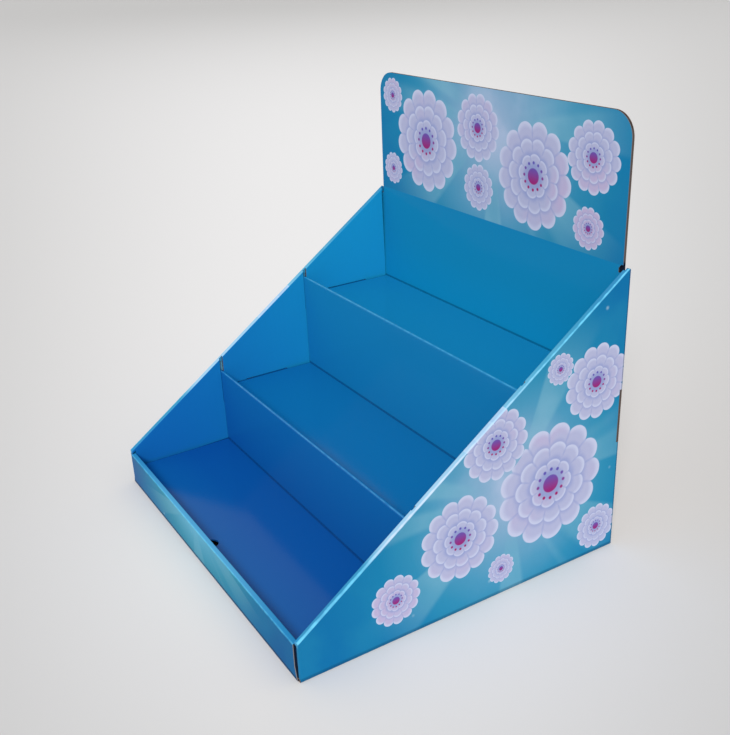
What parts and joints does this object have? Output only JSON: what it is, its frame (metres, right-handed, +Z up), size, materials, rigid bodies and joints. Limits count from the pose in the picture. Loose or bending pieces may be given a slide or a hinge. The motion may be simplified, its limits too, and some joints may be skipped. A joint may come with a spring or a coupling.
{
  "type": "counter display stand",
  "caption": "Counter display stand of printed corrugated board, with stepped shelves between sloping rolled-over sides, a low front lip and a tall header.",
  "frame": {"origin": "on the table, under the middle of the stand's bounding box", "axes": "+Z up, +Y from the low front lip towards the header, +X to the right as seen from the front"},
  "size_m": [0.4, 0.3492, 0.418],
  "materials": {
    "printed_board": "glossy laminated print on corrugated board, raw brown at the cut edges",
    "printed_card": "glossy laminated print on corrugated board, raw brown at the cut edges and the back",
    "printed_thin_board": "glossy laminated print on thin corrugated board, raw brown at the cut edges and underneath"
  },
  "bodies": {
    "root": {"outer_tray": "printed_board", "back_card": "printed_card", "tier_insert": "printed_thin_board"}
  },
  "joints": []
}
